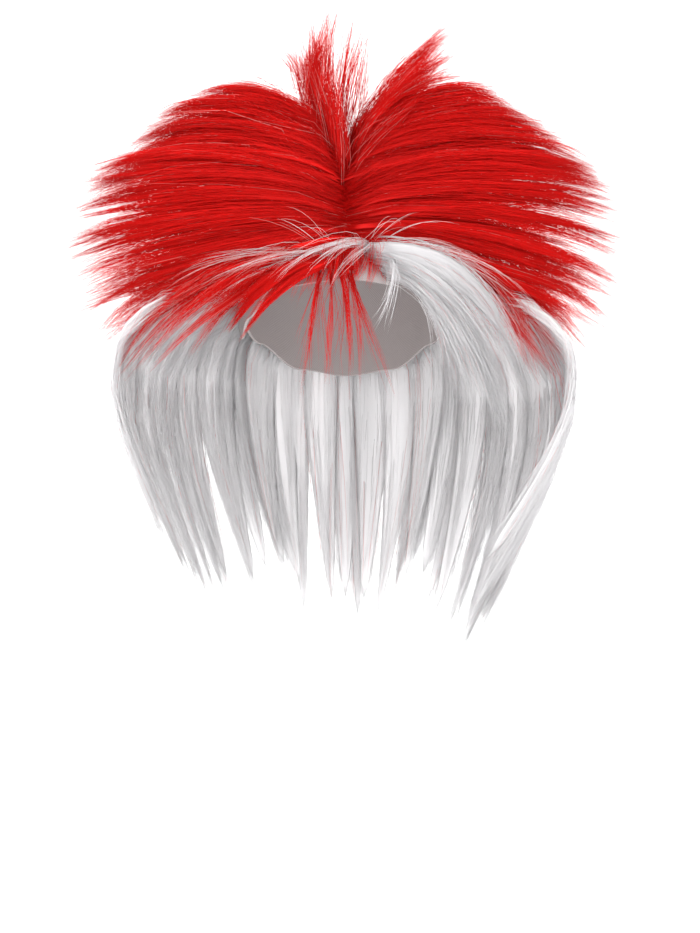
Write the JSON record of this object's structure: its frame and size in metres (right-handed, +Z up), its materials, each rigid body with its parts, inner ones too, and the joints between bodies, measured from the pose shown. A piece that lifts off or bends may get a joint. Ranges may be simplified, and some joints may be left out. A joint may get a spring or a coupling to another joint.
{
  "type": "mullet wig",
  "caption": "Spiky mullet wig: a net cap with layered red hair swept out from a centre parting, upright tufts and a fringe, over long white hair at the sides and nape.",
  "frame": {"origin": "inside top of the cap, where the crown of the head bears", "axes": "+Z up along the head, the face looks along -Y, +X is to the right seen from the front"},
  "size_m": [0.4004, 0.2899, 0.468],
  "materials": {
    "red_hair": "glossy synthetic hair, bright red",
    "white_hair": "silky synthetic hair, cool white",
    "cap_net": "matt stretch net, grey"
  },
  "bodies": {
    "root": {"wig_cap": "cap_net", "middle_layer_left": "red_hair", "middle_layer_right": "red_hair", "upper_layer_left": "red_hair", "upper_layer_right": "red_hair", "lower_layer_left": "red_hair", "lower_layer_right": "red_hair", "back_upper_layer": "red_hair", "back_middle_layer": "red_hair", "back_lower_layer": "red_hair", "tuft_left": "red_hair", "tuft_right": "red_hair", "fringe": "red_hair", "side_weft_left": "white_hair", "side_weft_right": "white_hair", "nape_tail": "white_hair", "front_lock": "white_hair"}
  },
  "joints": []
}
